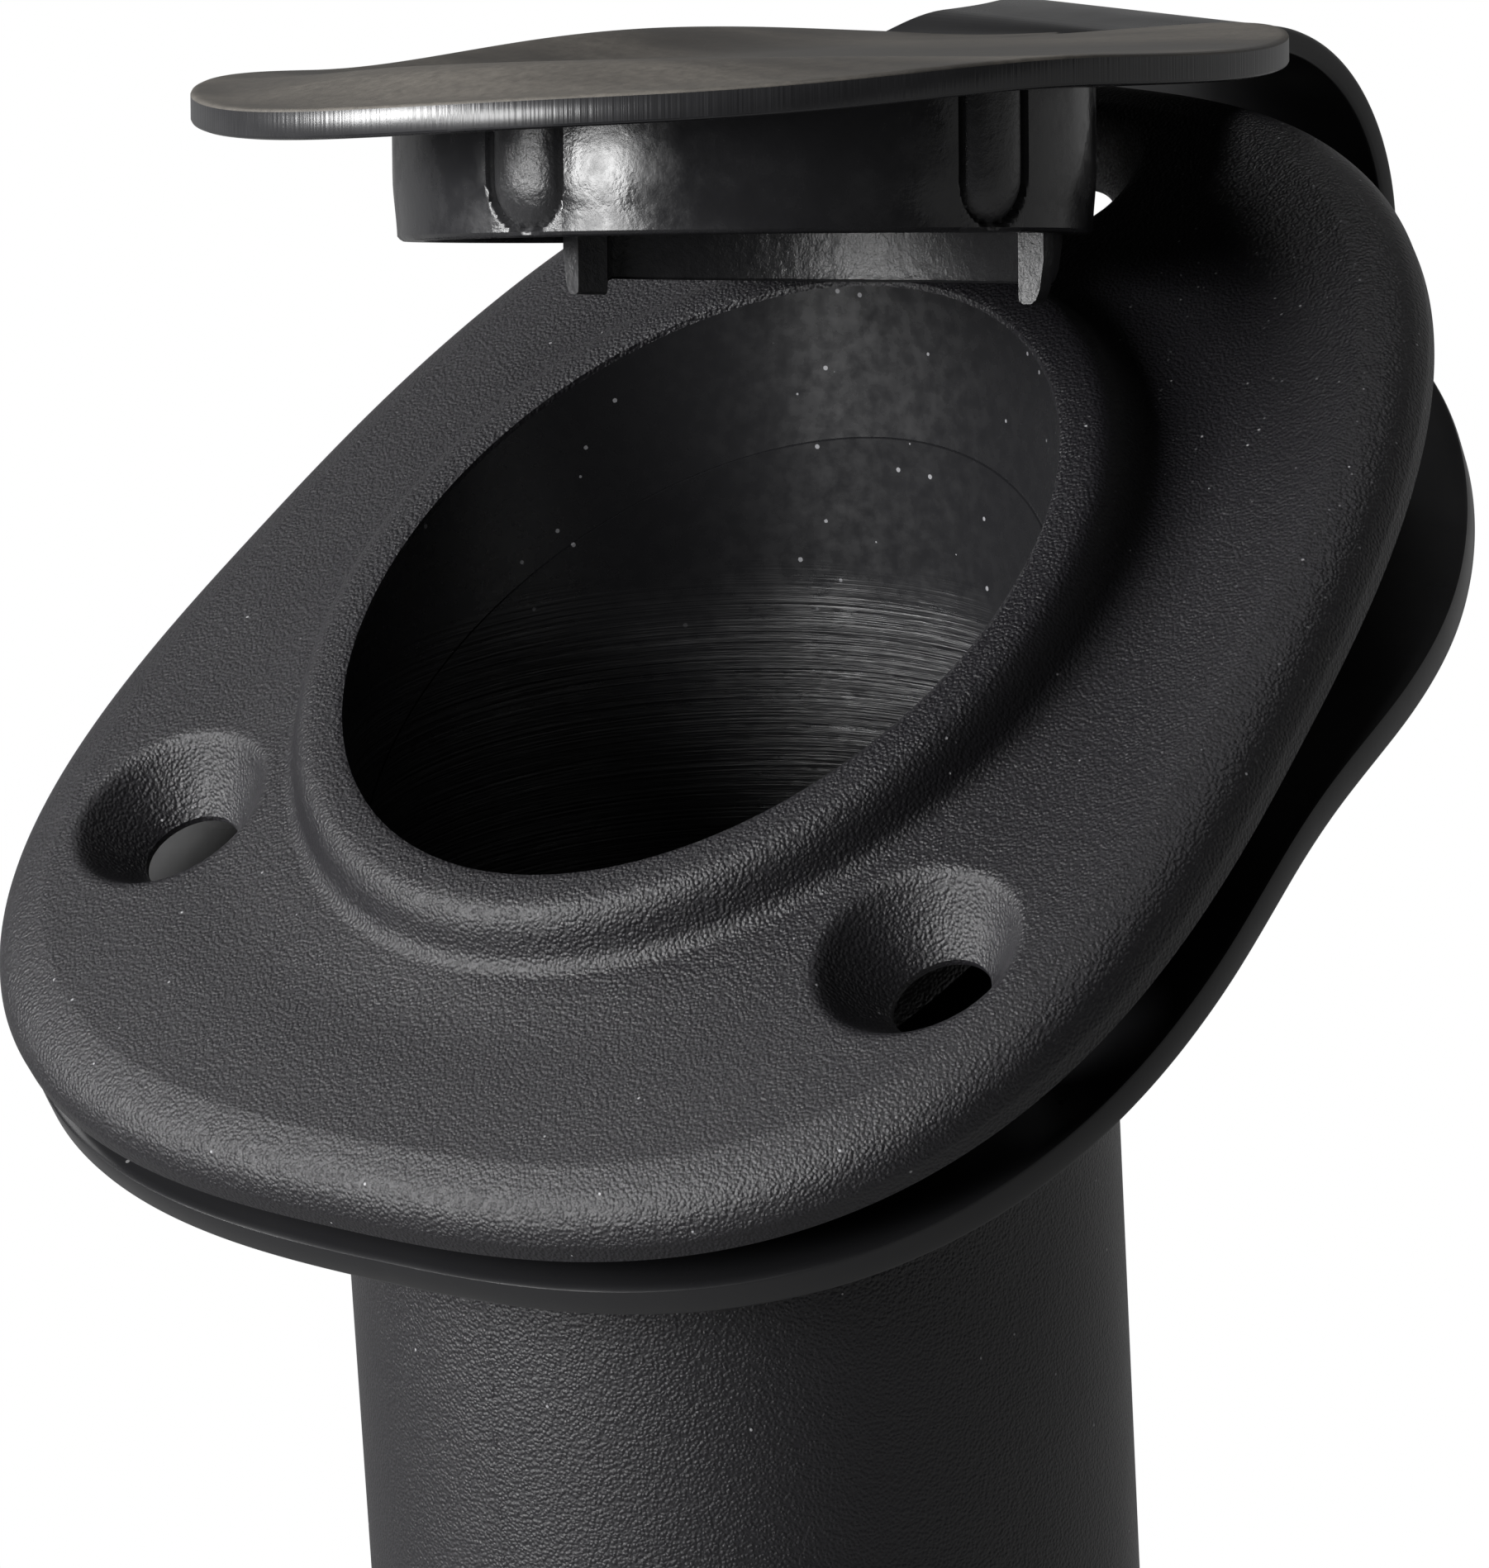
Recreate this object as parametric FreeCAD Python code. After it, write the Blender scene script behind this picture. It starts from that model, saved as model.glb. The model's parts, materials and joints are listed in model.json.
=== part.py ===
import FreeCAD, Part
import math
import os

# Flush-mount rod holder with a strapped cap and a loose deck gasket.
# Frame: the flange's underside is z = 0 and its normal is +Z. +X points to the rear, where the cap's
# strap is, and y = 0 is the plane of symmetry. The rod tube goes down towards -X.
# The cap, strap and gasket are drawn in the shut position, gasket flat under the flange and plug in
# the bore, and are then turned about their hinges into the rest position.

Vector = FreeCAD.Vector
ALONG = Vector(1, 0, 0)
ACROSS = Vector(0, 1, 0)

# Driving dimensions, millimetres and degrees
TUBE_TILT = 30.0
TUBE_OUTER_R = 24.0
TUBE_BORE_R = 20.8
TUBE_LENGTH = 225.0
TUBE_STRAIGHT = 70.0
TUBE_TAPER = 0.7
TUBE_FLOOR = 3.0
DRAIN_R = 4.0

RIM_HEIGHT = 8.4
RIM_BORE_R = 22.2
SPIGOT_BORE_R = 21.6
SPIGOT_OUTER_R = 22.6
SOCKET_TOP = 3.0
COLLAR_R = 26.6
FIT_GAP = 0.05

FLANGE_MIDDLE_X = 1.64
FLANGE_HALF_LENGTH = 48.87
FLANGE_HALF_WIDTH = 40.47
FLANGE_SQUARENESS = 2.64
FLANGE_REAR_TAPER = 0.147
FLANGE_WALL = 3.4
CAVITY_DEPTH = 1.6

SCREW_PLACES = ((-22.5, 29.0), (-22.5, -29.0), (40.0, 0.0))
SCREW_HOLE_R = 3.1
SCREW_SEAT_R = 6.6
SCREW_SEAT_TOP = 5.3
SCREW_SEAT_BOTTOM = 1.4
SCREW_BOSS_R = 6.4

GASKET_THICK = 2.0
GASKET_RELIEF = 0.2    # left off the sheet's top, so that it doesn't press on the flange when fully seated
GASKET_OVERHANG = 1.3
GASKET_HOLE_FRONT = -40.4
GASKET_HOLE_REAR = 23.7
GASKET_HOLE_HALF_WIDTH = 24.8
GASKET_BEND_X = -1.0
GASKET_BEND_GAP = 0.3

CAP_X = -3.4
CAP_SEAT_Z = 8.5
CAP_THICK = 1.85
CAP_HALF_LENGTH = 34.4
CAP_HALF_WIDTH = 30.9
CAP_SQUARENESS = 2.15
PLUG_R = 21.2
PLUG_DEPTH = 8.3
PLUG_WALL = 2.0
PLUG_LEAD_IN = 1.4
PLUG_LEAD_HEIGHT = 3.2
PLUG_LUG_R = 2.6
PLUG_LUG_SET_IN = 2.05
LUG_ANGLES = (98, 180, 262)
HOOK_OUTER_R = 17.0
HOOK_WALL = 1.6
HOOK_DEPTH = 11.3
HOOK_HALF_ANGLE = 60.0

STRAP_WIDTH = 20.0
STRAP_THICK = 1.6
ROOT_CENTRE = Vector(50.3, 0, 1.6)
ROOT_R = 2.6
ROOT_START_ANGLE = -72.0
ARCH_CENTRE = Vector(37.5, 0, -1.6)
ARCH_R = 15.8
ARCH_START_ANGLE = 14.0
ARCH_END_ANGLE = 90.0
ARCH_LINKS = 4
LINK_GAP = 0.6
TAB_START_X = 28.5
TAB_SIDE_GAP = 0.9

# The strap twists the resting cap about its own long axis, left side down
TWIST_PIVOT = Vector(0, 0, CAP_SEAT_Z + CAP_THICK / 2)
TWIST_TURN = 7.0

# Turns from the shut position to the rest position, about +Y
SEAT_PIVOT = Vector(-107.0, 0, -47.8)
SEAT_TURN = 3.4
BEND_PIVOT = Vector(GASKET_BEND_X, 0, -FIT_GAP - GASKET_THICK / 2)
BEND_TURN = 4.9
BASE_PIVOT = Vector(50.8, 0, -0.95)
BASE_TURN = 34.6

AXIS = Vector(math.sin(math.radians(TUBE_TILT)), 0, math.cos(math.radians(TUBE_TILT)))
AXIS_AT_UNDERSIDE = Vector(-RIM_HEIGHT * math.tan(math.radians(TUBE_TILT)), 0, 0)
LARGE = 400.0


def signed_power(value, power):
    return math.copysign(abs(value) ** power, value)


def flange_outline_point(turn, grow):
    """A rounded, rear-tapered oval. grow moves it outwards by about that many millimetres."""
    power = 2.0 / FLANGE_SQUARENESS
    across = signed_power(math.cos(turn), power)
    along = signed_power(math.sin(turn), power)
    x = (FLANGE_HALF_LENGTH + grow) * across
    y = (FLANGE_HALF_WIDTH + grow) * along * (1 - FLANGE_REAR_TAPER * across)
    return FLANGE_MIDDLE_X + x, y


def ellipse_point(turn, centre_x, half_length, half_width):
    return centre_x + half_length * math.cos(turn), half_width * math.sin(turn)


def closed_wire(point_at, z, count=48):
    """A smooth closed curve at height z through count points of a formula."""
    points = []
    for i in range(count):
        x, y = point_at(2 * math.pi * i / count)
        points.append(Vector(x, y, z))
    curve = Part.BSplineCurve()
    curve.interpolate(points, PeriodicFlag=True)
    return Part.Wire(curve.toShape())


def slab(wire, height):
    return Part.Face(wire).extrude(Vector(0, 0, height))


def half_space(z, above):
    """A large block that fills everything above or below height z."""
    low = z if above else z - LARGE
    return Part.makeBox(2 * LARGE, 2 * LARGE, LARGE, Vector(-LARGE, -LARGE, low))


def tilted_cylinder(radius, down, up):
    """A cylinder on the tube's axis, from down below the underside point to up above it."""
    start = AXIS_AT_UNDERSIDE - AXIS * down
    return Part.makeCylinder(radius, down + up, start, AXIS)


def flange_shell():
    """The domed plate, from its outer edge up to the foot of the rim."""
    sections = []
    edge_profile = ((0.0, 0.0), (1.4, -0.05), (2.7, -0.7), (3.6, -1.9), (4.15, -3.6))
    for z, grow in edge_profile:
        sections.append(closed_wire(lambda t, g=grow: flange_outline_point(t, g), z))
    edge_grow = edge_profile[-1][1]

    def towards_rim(share):
        def point(turn):
            outer_x, outer_y = flange_outline_point(turn, edge_grow)
            inner_x, inner_y = ellipse_point(turn, 0.0, 30.6, 27.2)
            x = outer_x + (inner_x - outer_x) * share
            y = outer_y + (inner_y - outer_y) * share
            return x, y
        return point

    for z, share in ((4.75, 0.35), (5.3, 0.7), (5.75, 1.0)):
        sections.append(closed_wire(towards_rim(share), z))
    return Part.makeLoft(sections, True, False)


def rim_bead():
    """The raised rounded lip around the bore, with a hollow groove at its foot."""
    profile = ((5.4, 5.1), (6.0, 4.3), (6.9, 3.7), (7.7, 3.2), (8.2, 2.5), (RIM_HEIGHT, 1.6))
    slope = math.cos(math.radians(TUBE_TILT))
    sections = []
    for z, width in profile:
        half_length = RIM_BORE_R / slope + width
        half_width = RIM_BORE_R + width
        wire = closed_wire(lambda t, a=half_length, b=half_width: ellipse_point(t, 0.0, a, b), z)
        sections.append(wire)
    return Part.makeLoft(sections, True, False)


def screw_cutter(x, y):
    """A countersunk clearance hole for one screw."""
    hole = Part.makeCylinder(SCREW_HOLE_R, 30, Vector(x, y, -10))
    depth = SCREW_SEAT_TOP - SCREW_SEAT_BOTTOM
    seat = Part.makeCone(SCREW_HOLE_R, SCREW_SEAT_R, depth, Vector(x, y, SCREW_SEAT_BOTTOM))
    above = Part.makeCylinder(SCREW_SEAT_R, 5, Vector(x, y, SCREW_SEAT_TOP))
    return hole.fuse([seat, above])


def flange():
    body = flange_shell().fuse(rim_bead())
    cavity_wire = closed_wire(lambda t: flange_outline_point(t, -FLANGE_WALL), -1.0)
    cavity = slab(cavity_wire, 1.0 + CAVITY_DEPTH)
    cavity = cavity.cut(tilted_cylinder(COLLAR_R, 60, 60))
    for x, y in SCREW_PLACES:
        cavity = cavity.cut(Part.makeCylinder(SCREW_BOSS_R, 20, Vector(x, y, -5)))
    body = body.cut(cavity)
    socket = tilted_cylinder(TUBE_OUTER_R + FIT_GAP, 60, 60)
    socket = socket.cut(tilted_cylinder(SPIGOT_OUTER_R, 70, 70))
    socket = socket.cut(half_space(SOCKET_TOP, True))
    body = body.cut(socket)
    slope = math.cos(math.radians(TUBE_TILT))
    rise = 0.2
    rim_x = rise * math.tan(math.radians(TUBE_TILT))
    top = closed_wire(lambda t: ellipse_point(t, rim_x, RIM_BORE_R / slope, RIM_BORE_R), RIM_HEIGHT + rise)
    drop_x = AXIS_AT_UNDERSIDE.x - rim_x
    half_length = SPIGOT_BORE_R / slope
    bottom = closed_wire(lambda t: ellipse_point(t, drop_x, half_length, SPIGOT_BORE_R), -rise)
    body = body.cut(Part.makeLoft([bottom, top], True, True))
    for x, y in SCREW_PLACES:
        body = body.cut(screw_cutter(x, y))
    return body


def tapered_tube(radius, length):
    """A round bar on the tube's axis that is straight near the flange and slims towards its lower end."""
    upper = tilted_cylinder(radius, TUBE_STRAIGHT, 60)
    start = AXIS_AT_UNDERSIDE - AXIS * TUBE_STRAIGHT
    lower = Part.makeCone(radius, radius - TUBE_TAPER, length - TUBE_STRAIGHT, start, AXIS * -1)
    return upper.fuse(lower)


def tube():
    body = tapered_tube(TUBE_OUTER_R, TUBE_LENGTH)
    body = body.cut(tapered_tube(TUBE_BORE_R, TUBE_LENGTH - TUBE_FLOOR))
    counterbore = tilted_cylinder(SPIGOT_OUTER_R + FIT_GAP, 60, 80)
    counterbore = counterbore.common(half_space(-FIT_GAP, True))
    body = body.cut(counterbore)
    body = body.cut(half_space(SOCKET_TOP - FIT_GAP, True))
    drain_start = AXIS_AT_UNDERSIDE - AXIS * (TUBE_LENGTH + 5)
    return body.cut(Part.makeCylinder(DRAIN_R, 20, drain_start, AXIS))


def gasket_sheet():
    """The flat gasket, with its tube hole and its screw holes."""
    bottom = -FIT_GAP - GASKET_THICK
    outline = closed_wire(lambda t: flange_outline_point(t, GASKET_OVERHANG), bottom)
    sheet = slab(outline, GASKET_THICK - GASKET_RELIEF)
    hole_x = (GASKET_HOLE_FRONT + GASKET_HOLE_REAR) / 2
    half_length = (GASKET_HOLE_REAR - GASKET_HOLE_FRONT) / 2
    hole_wire = closed_wire(lambda t: ellipse_point(t, hole_x, half_length, GASKET_HOLE_HALF_WIDTH), bottom - 1)
    sheet = sheet.cut(slab(hole_wire, GASKET_THICK + 2))
    for x, y in SCREW_PLACES:
        sheet = sheet.cut(Part.makeCylinder(SCREW_HOLE_R, 10, Vector(x, y, -6)))
    notch_start = BASE_PIVOT.x - LINK_GAP / 2
    notch = Part.makeBox(10, STRAP_WIDTH + 1, 10, Vector(notch_start, -STRAP_WIDTH / 2 - 0.5, -6))
    return sheet.cut(notch)


def gasket_half(rear):
    """The part of the gasket in front of, or behind, the line it bends along."""
    gap = GASKET_BEND_GAP / 2
    if rear:
        keep = Part.makeBox(LARGE, LARGE, 40, Vector(GASKET_BEND_X + gap, -LARGE / 2, -20))
    else:
        keep = Part.makeBox(LARGE, LARGE, 40, Vector(GASKET_BEND_X - gap - LARGE, -LARGE / 2, -20))
    return gasket_sheet().common(keep)


def arc_point(centre, radius, angle):
    turn = math.radians(angle)
    return Vector(centre.x + radius * math.cos(turn), -STRAP_WIDTH / 2, centre.z + radius * math.sin(turn))


def curved_link(centre, radius, start, end):
    """A piece of strap bent round a centre, between two angles, with flat radial ends."""
    inner = radius - STRAP_THICK / 2
    outer = radius + STRAP_THICK / 2
    middle = (start + end) / 2
    corners = [arc_point(centre, r, a) for r, a in ((inner, start), (inner, end), (outer, end), (outer, start))]
    inner_arc = Part.Arc(corners[0], arc_point(centre, inner, middle), corners[1]).toShape()
    end_face = Part.makeLine(corners[1], corners[2])
    outer_arc = Part.Arc(corners[2], arc_point(centre, outer, middle), corners[3]).toShape()
    start_face = Part.makeLine(corners[3], corners[0])
    outline = Part.Wire([inner_arc, end_face, outer_arc, start_face])
    return Part.Face(outline).extrude(Vector(0, STRAP_WIDTH, 0))


def joint_angles():
    """Angles round the arch of the strap's bending joints, from the deck end to the cap."""
    step = (ARCH_END_ANGLE - ARCH_START_ANGLE) / ARCH_LINKS
    return [ARCH_START_ANGLE + step * i for i in range(ARCH_LINKS + 1)]


def arch_link(index):
    angles = joint_angles()
    half_gap = math.degrees(LINK_GAP / 2 / ARCH_R)
    return curved_link(ARCH_CENTRE, ARCH_R, angles[index] + half_gap, angles[index + 1] - half_gap)


def root_link():
    half_gap = math.degrees(LINK_GAP / 2 / ROOT_R)
    return curved_link(ROOT_CENTRE, ROOT_R, ROOT_START_ANGLE, ARCH_START_ANGLE - half_gap)


def cap_outline_point(turn):
    power = 2.0 / CAP_SQUARENESS
    x = CAP_X + CAP_HALF_LENGTH * signed_power(math.cos(turn), power)
    return x, CAP_HALF_WIDTH * signed_power(math.sin(turn), power)


def strap_tab():
    """The strap's end that rises from the cap plate and meets the top of the arch."""
    top_z = ARCH_CENTRE.z + ARCH_R
    plate_z = CAP_SEAT_Z + CAP_THICK / 2
    start_x = ARCH_CENTRE.x - LINK_GAP / 2
    side = -STRAP_WIDTH / 2
    edges = []
    ends = []
    for offset in (STRAP_THICK / 2, -STRAP_THICK / 2):
        upper = Vector(start_x, side, top_z + offset)
        lower = Vector(TAB_START_X + LINK_GAP, side, plate_z + offset)
        curve = Part.BezierCurve()
        reach = (start_x - TAB_START_X) * 0.5
        curve.setPoles([upper, upper - Vector(reach, 0, 0), lower + Vector(reach, 0, 0), lower])
        edges.append(curve.toShape())
        ends.append((upper, lower))
    near_arch = Part.makeLine(ends[0][0], ends[1][0])
    near_plate = Part.makeLine(ends[0][1], ends[1][1])
    outline = Part.Wire(Part.__sortEdges__([edges[0], near_plate, edges[1], near_arch]))
    return Part.Face(outline).extrude(Vector(0, STRAP_WIDTH, 0))


def cap_plate():
    """The thin oval plate, open at its rear middle where the strap's tab starts."""
    plate = slab(closed_wire(cap_outline_point, CAP_SEAT_Z), CAP_THICK)
    notch_width = STRAP_WIDTH + 2 * TAB_SIDE_GAP
    corner = Vector(TAB_START_X, -notch_width / 2, CAP_SEAT_Z - 3)
    return plate.cut(Part.makeBox(20, notch_width, 10, corner))


def ring(outer, wall, top, depth):
    """An upright ring with a small lead-in taper at its lower outer edge."""
    foot = top - depth
    upper = Part.makeCylinder(outer, depth - PLUG_LEAD_HEIGHT, Vector(CAP_X, 0, foot + PLUG_LEAD_HEIGHT))
    lower = Part.makeCone(outer - PLUG_LEAD_IN, outer, PLUG_LEAD_HEIGHT, Vector(CAP_X, 0, foot))
    inside = Part.makeCylinder(outer - wall, depth + 2, Vector(CAP_X, 0, foot - 1))
    return upper.fuse(lower).cut(inside)


def plug_lug(angle):
    """A half-round upright rib with a rounded foot, set into the plug's wall."""
    turn = math.radians(angle)
    reach = PLUG_R - PLUG_LUG_SET_IN
    x = CAP_X + reach * math.cos(turn)
    y = reach * math.sin(turn)
    top = CAP_SEAT_Z - FIT_GAP
    foot = top - PLUG_DEPTH + PLUG_LUG_R + 0.3
    post = Part.makeCylinder(PLUG_LUG_R, top - foot, Vector(x, y, foot))
    return post.fuse(Part.makeSphere(PLUG_LUG_R, Vector(x, y, foot)))


def rear_hook():
    """The deeper part-round wall that holds the plug against the rear of the bore."""
    top = CAP_SEAT_Z - FIT_GAP
    wall = ring(HOOK_OUTER_R, HOOK_WALL, top, HOOK_DEPTH)
    reach = 40.0
    turn = math.radians(HOOK_HALF_ANGLE)
    tip = Vector(CAP_X, 0, top - HOOK_DEPTH - 1)
    left = tip + Vector(reach * math.cos(turn), reach * math.sin(turn), 0)
    right = tip + Vector(reach * math.cos(turn), -reach * math.sin(turn), 0)
    far = tip + Vector(2 * reach, 0, 0)
    wedge = Part.Face(Part.makePolygon([tip, right, far, left, tip])).extrude(Vector(0, 0, HOOK_DEPTH + 2))
    return wall.common(wedge)


def cap_plug():
    body = ring(PLUG_R, PLUG_WALL, CAP_SEAT_Z - FIT_GAP, PLUG_DEPTH)
    for angle in LUG_ANGLES:
        body = body.fuse(plug_lug(angle))
    body = body.common(Part.makeCylinder(PLUG_R + 0.35, 40, Vector(CAP_X, 0, -20)))
    web = Part.makeCylinder(PLUG_R - PLUG_WALL / 2, 1.2, Vector(CAP_X, 0, CAP_SEAT_Z - FIT_GAP - 1.2))
    return body.fuse([web, rear_hook()])


def to_rest(shape, links):
    """Turns a shut-position shape to rest. links is 1 for the front of the gasket, 2 for its rear
    half, 3 for the strap and 4 for the cap."""
    turns = (
        (SEAT_PIVOT, ACROSS, SEAT_TURN),
        (BEND_PIVOT, ACROSS, BEND_TURN),
        (BASE_PIVOT, ACROSS, BASE_TURN),
        (TWIST_PIVOT, ALONG, -TWIST_TURN),
    )
    moved = shape.copy()
    for pivot, direction, angle in reversed(turns[:links]):
        moved.rotate(pivot, direction, angle)
    return moved


def save(name, shape):
    solids = shape.removeSplitter().Solids
    if not solids:
        raise RuntimeError(name + " has no solid")
    solid = solids[0] if len(solids) == 1 else Part.makeCompound(solids)
    if not solid.isValid():
        raise RuntimeError(name + " is not valid")
    solid.exportStep(os.path.join("parts", name + ".step"))


os.makedirs("parts", exist_ok=True)
save("flange", flange())
save("tube", tube())
save("gasket_front", to_rest(gasket_half(False), 1))
save("gasket_rear", to_rest(gasket_half(True), 2))
save("strap_root", to_rest(root_link(), 3))
for link in range(ARCH_LINKS):
    save("strap_link_" + str(link + 1), to_rest(arch_link(link), 3))
save("strap_tab", to_rest(strap_tab(), 3))
save("cap_plate", to_rest(cap_plate(), 4))
save("cap_plug", to_rest(cap_plug(), 4))
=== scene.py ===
import bmesh
import bpy
import json
import math
import numpy as np
from mathutils import Matrix, Vector

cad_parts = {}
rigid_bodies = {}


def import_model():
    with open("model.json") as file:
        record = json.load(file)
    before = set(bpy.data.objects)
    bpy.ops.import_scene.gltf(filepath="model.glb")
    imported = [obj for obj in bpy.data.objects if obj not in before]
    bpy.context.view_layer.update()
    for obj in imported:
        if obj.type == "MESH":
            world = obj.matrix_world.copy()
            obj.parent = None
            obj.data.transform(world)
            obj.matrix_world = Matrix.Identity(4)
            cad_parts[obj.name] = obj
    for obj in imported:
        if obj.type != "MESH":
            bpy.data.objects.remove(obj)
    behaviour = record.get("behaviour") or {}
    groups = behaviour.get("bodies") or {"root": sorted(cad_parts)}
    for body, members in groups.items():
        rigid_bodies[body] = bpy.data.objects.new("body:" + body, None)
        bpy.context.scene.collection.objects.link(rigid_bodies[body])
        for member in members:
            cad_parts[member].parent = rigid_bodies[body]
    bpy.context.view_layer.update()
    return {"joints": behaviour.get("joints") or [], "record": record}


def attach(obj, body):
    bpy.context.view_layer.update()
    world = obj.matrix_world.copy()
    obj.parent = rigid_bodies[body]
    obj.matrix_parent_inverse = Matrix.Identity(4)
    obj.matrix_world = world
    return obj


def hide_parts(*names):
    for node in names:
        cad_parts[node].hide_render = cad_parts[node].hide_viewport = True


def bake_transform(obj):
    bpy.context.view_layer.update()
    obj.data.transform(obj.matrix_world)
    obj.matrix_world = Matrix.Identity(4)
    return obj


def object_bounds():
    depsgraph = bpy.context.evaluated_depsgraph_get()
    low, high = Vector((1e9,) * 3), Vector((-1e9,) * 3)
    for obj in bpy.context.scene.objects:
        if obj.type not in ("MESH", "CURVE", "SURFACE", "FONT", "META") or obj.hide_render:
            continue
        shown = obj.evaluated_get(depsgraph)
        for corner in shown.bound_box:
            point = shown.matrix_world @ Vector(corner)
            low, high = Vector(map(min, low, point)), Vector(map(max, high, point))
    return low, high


# Looks of the flush-mount rod holder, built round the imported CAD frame.
# Lengths are in millimetres until make_mesh() turns them into metres. Parts of the gasket, strap and
# cap are drawn in the shut position and then turned back to rest with the frame's own joints.

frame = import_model()

MM = 0.001
TILT = math.radians(30.0)
TUBE_OUTER_R = 24.0
TUBE_BORE_R = 20.8
TUBE_LENGTH = 225.0
TUBE_STRAIGHT = 70.0
TUBE_TAPER = 0.7
TUBE_FLOOR = 3.0
DRAIN_R = 4.0

RIM_HEIGHT = 8.4
RIM_BORE_R = 22.2
LOWER_BORE_R = 21.6
MOUTH_R = 21.5
COLLAR_R = 26.6
MIDDLE_X = 1.64
HALF_LENGTH = 48.87
HALF_WIDTH = 40.47
SQUARENESS = 2.64
REAR_TAPER = 0.147
WALL = 3.4
CAVITY_DEPTH = 1.6
SCREW_PLACES = ((-22.5, 29.0), (-22.5, -29.0), (40.0, 0.0))
SCREW_HOLE_R = 3.1
SCREW_BOSS_R = 6.4
SEAT_SLOPE = 1.24
SEAT_FLOOR = 0.4
BEAD_FOOT = (30.9, 27.5)

GASKET_TOP = -0.05
GASKET_THICK = 2.0
GASKET_OVERHANG = 1.3
GASKET_BEND_X = -1.0
GASKET_BEND_REACH = 14.0
GASKET_CURL = 8.0
GASKET_SLIDE = (-0.7, 0.4)
GASKET_HOLE = (-8.35, 32.6, 25.4)
GASKET_CORNER_LOSS = 4.2
GASKET_SIDE_LOSS = 3.0
NOTCH_X = 46.6

CAP_X = -3.4
CAP_SEAT_Z = 8.5
CAP_THICK = 1.85
CAP_HALF_LENGTH = 34.4
CAP_HALF_WIDTH = 30.9
CAP_SQUARENESS = 2.15
PLUG_R = 21.2
PLUG_DEPTH = 8.3
PLUG_WALL = 2.0
LUG_R = 2.6
LUG_ANGLES = (98, 180, 262)
REAR_RISE = 3.2
FRONT_DROOP = 2.8
LEFT_RISE = 1.9
STRAP_LIFT = 1.3
HOOK_R = 19.1
HOOK_WALL = 1.6
HOOK_DEPTH = 11.3
HOOK_HALF_ANGLE = 74.0

STRAP_WIDTH = 20.0
STRAP_THICK = 1.6
ROOT_CENTRE = (50.3, 1.6)
ROOT_R = 2.6
ARCH_CENTRE = (37.5, -1.6)
ARCH_R = 15.8
ARCH_START = 14.0
ARCH_STEP = 19.0


# ---------- plain geometry ----------

def smooth_through(points, steps):
    """Points on a smooth curve through the given points."""
    knots = np.array(points, float)
    padded = np.vstack([2 * knots[0] - knots[1], knots, 2 * knots[-1] - knots[-2]])
    found = []
    for i in range(len(knots) - 1):
        before, start, end, after = padded[i:i + 4]
        for k in range(steps):
            t = k / steps
            linear = end - before
            square = 2 * before - 5 * start + 4 * end - after
            cube = after - before + 3 * (start - end)
            found.append(0.5 * (2 * start + linear * t + square * t ** 2 + cube * t ** 3))
    found.append(knots[-1])
    return np.array(found)


def smooth_step(value):
    share = np.clip(value, 0.0, 1.0)
    return share * share * (3 - 2 * share)


def smooth_min(first, second, blend):
    share = np.clip(0.5 + 0.5 * (second - first) / blend, 0.0, 1.0)
    return second + (first - second) * share - blend * share * (1 - share)


def make_mesh(name, vertices, faces, materials):
    """A mesh object from millimetre points, smooth but for its sharp edges, facing outwards."""
    mesh = bpy.data.meshes.new(name)
    mesh.from_pydata((np.array(vertices) * MM).tolist(), [], faces)
    work = bmesh.new()
    work.from_mesh(mesh)
    bmesh.ops.recalc_face_normals(work, faces=work.faces)
    work.to_mesh(mesh)
    work.free()
    for material in materials:
        mesh.materials.append(material)
    finished = bpy.data.objects.new(name, mesh)
    bpy.context.scene.collection.objects.link(finished)
    soften(finished)
    return finished


def soften(piece, sharp_angle=38.0):
    for face in piece.data.polygons:
        face.use_smooth = True
    piece.data.set_sharp_from_angle(angle=math.radians(sharp_angle))


def loft(name, rings, materials, hoop=True, slots=None):
    """A closed skin over rings of equally many points. A hoop joins its last ring to its first one;
    otherwise both end rings are filled. slots gives the material number of each band of faces."""
    stack = np.array(rings, float)
    ring_count, point_count = stack.shape[:2]
    vertices = stack.reshape(-1, 3)
    faces = []
    numbers = []
    for ring in range(ring_count if hoop else ring_count - 1):
        after = (ring + 1) % ring_count
        for i in range(point_count):
            j = (i + 1) % point_count
            faces.append((ring * point_count + i, ring * point_count + j, after * point_count + j,
                          after * point_count + i))
            numbers.append(slots[ring] if slots else 0)
    if not hoop:
        last = (ring_count - 1) * point_count
        faces.append(tuple(range(point_count)))
        faces.append(tuple(range(last, last + point_count)))
        numbers += [slots[0] if slots else 0, slots[-1] if slots else 0]
    made = make_mesh(name, vertices, faces, materials)
    made.data.polygons.foreach_set("material_index", numbers)
    return made


def combine(piece, others, operation):
    """Adds or cuts away other closed meshes, which are then gone."""
    for other in others:
        modifier = piece.modifiers.new("combine", "BOOLEAN")
        modifier.object = other
        modifier.operation = operation
        modifier.solver = "EXACT"
        graph = bpy.context.evaluated_depsgraph_get()
        result = bpy.data.meshes.new_from_object(piece.evaluated_get(graph))
        piece.modifiers.clear()
        piece.data = result
        bpy.data.objects.remove(other)
    soften(piece)


def upright_bar(x, y, radius, bottom, top, material):
    turns = np.linspace(0, 2 * math.pi, 64, endpoint=False)
    rings = []
    for z in (bottom, top):
        rings.append(np.stack([x + radius * np.cos(turns), y + radius * np.sin(turns), np.full(64, z)], 1))
    return loft("bar", rings, [material], hoop=False)


# ---------- turning shut shapes back to rest ----------

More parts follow.
